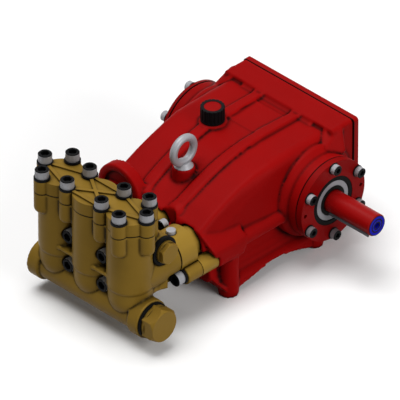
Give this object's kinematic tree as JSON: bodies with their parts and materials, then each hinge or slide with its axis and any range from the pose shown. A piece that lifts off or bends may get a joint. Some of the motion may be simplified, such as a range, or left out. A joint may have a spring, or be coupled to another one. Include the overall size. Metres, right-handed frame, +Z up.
{
  "type": "high pressure plunger pump",
  "caption": "Horizontal triplex plunger pump: red cast crankcase on four feet, brass fluid end with valve plate and side galleries, keyed drive shaft.",
  "frame": {"origin": "centre of the four feet's tapped holes, on the floor plane", "axes": "+X towards the drive end of the crankshaft, -Y towards the fluid end, +Z up"},
  "size_m": [0.323, 0.401, 0.1935],
  "materials": {
    "cast_red": "satin red enamel on cast iron",
    "brass": "cast brass, satin",
    "steel": "zinc plated steel",
    "rubber": "black rubber",
    "black_plastic": "moulded black plastic",
    "shaft_red": "red primer on a steel shaft, blue end face"
  },
  "bodies": {
    "pump": {"crankcase": "cast_red", "rear_cover": "cast_red", "drive_cover": "cast_red", "blind_cover": "cast_red", "seal_rubber": "rubber", "seal_washer": "steel", "eye_bolt": "steel", "oil_cap": "black_plastic", "oil_cap_disc": "cast_red", "fluid_block": "brass", "valve_plate": "brass", "suction_plug": "brass", "suction_seal": "rubber", "discharge_plug": "brass", "discharge_seal": "rubber", "plunger_housing_1": "brass", "plunger_housing_2": "brass", "plunger_housing_3": "brass", "housing_plug_1": "steel", "housing_plug_2": "steel", "housing_plug_3": "steel", "tie_spacer_left": "brass", "tie_spacer_right": "brass"},
    "crankshaft": {"drive_shaft": "shaft_red", "shaft_key": "steel"}
  },
  "joints": [
    {"name": "crankshaft_spin", "type": "hinge", "parent": "pump", "child": "crankshaft", "pos_m": [0, 0.068, 0.089], "axis": [1, 0, 0], "continuous": true}
  ]
}
